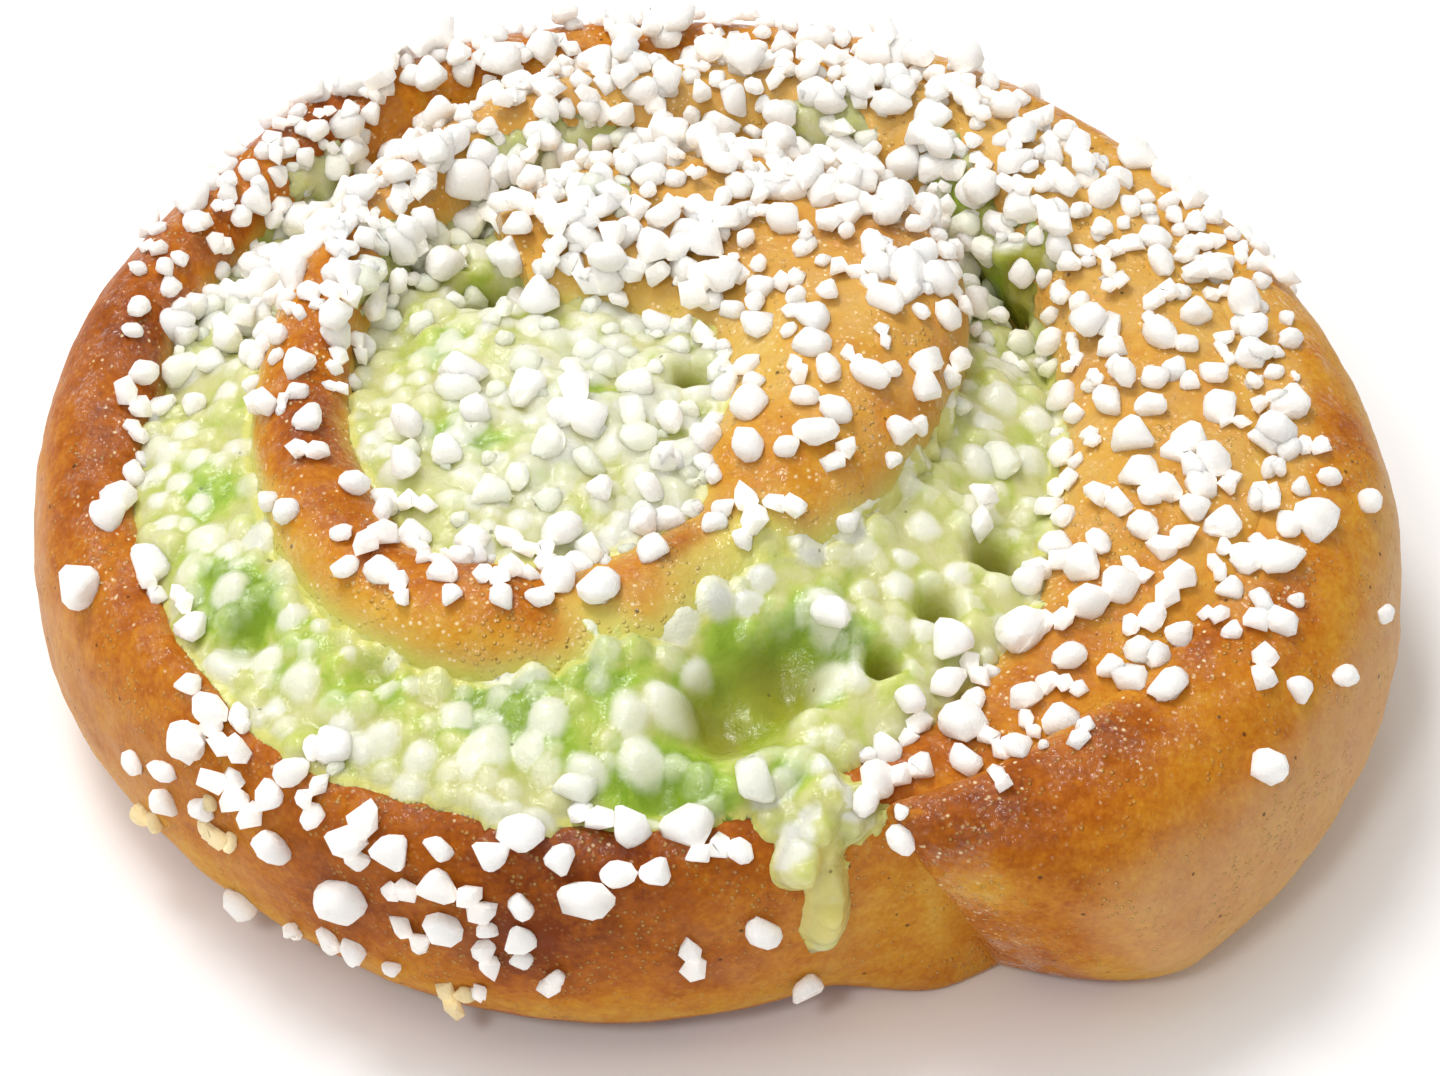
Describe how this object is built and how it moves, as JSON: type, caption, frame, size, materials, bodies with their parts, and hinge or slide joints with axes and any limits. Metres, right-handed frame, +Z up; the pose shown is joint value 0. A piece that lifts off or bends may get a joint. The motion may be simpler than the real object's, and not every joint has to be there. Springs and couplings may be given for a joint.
{
  "type": "pistachio bun",
  "caption": "Coiled yeast bun with a soft green pistachio filling between its turns and pearl sugar strewn over the top.",
  "frame": {"origin": "middle of the bun's footprint, at the base it rests on", "axes": "+Z up through the bun, +X to the right and +Y away from the viewer, with the loose end of the coil at the front right"},
  "size_m": [0.1088, 0.0978, 0.0357],
  "materials": {
    "dough": "baked golden crust, satin where glazed, browner at the rim",
    "filling": "wet, soft, milky to bright green",
    "sugar": "opaque white pearl sugar"
  },
  "bodies": {
    "root": {"dough": "dough", "filling": "filling"}
  },
  "joints": []
}
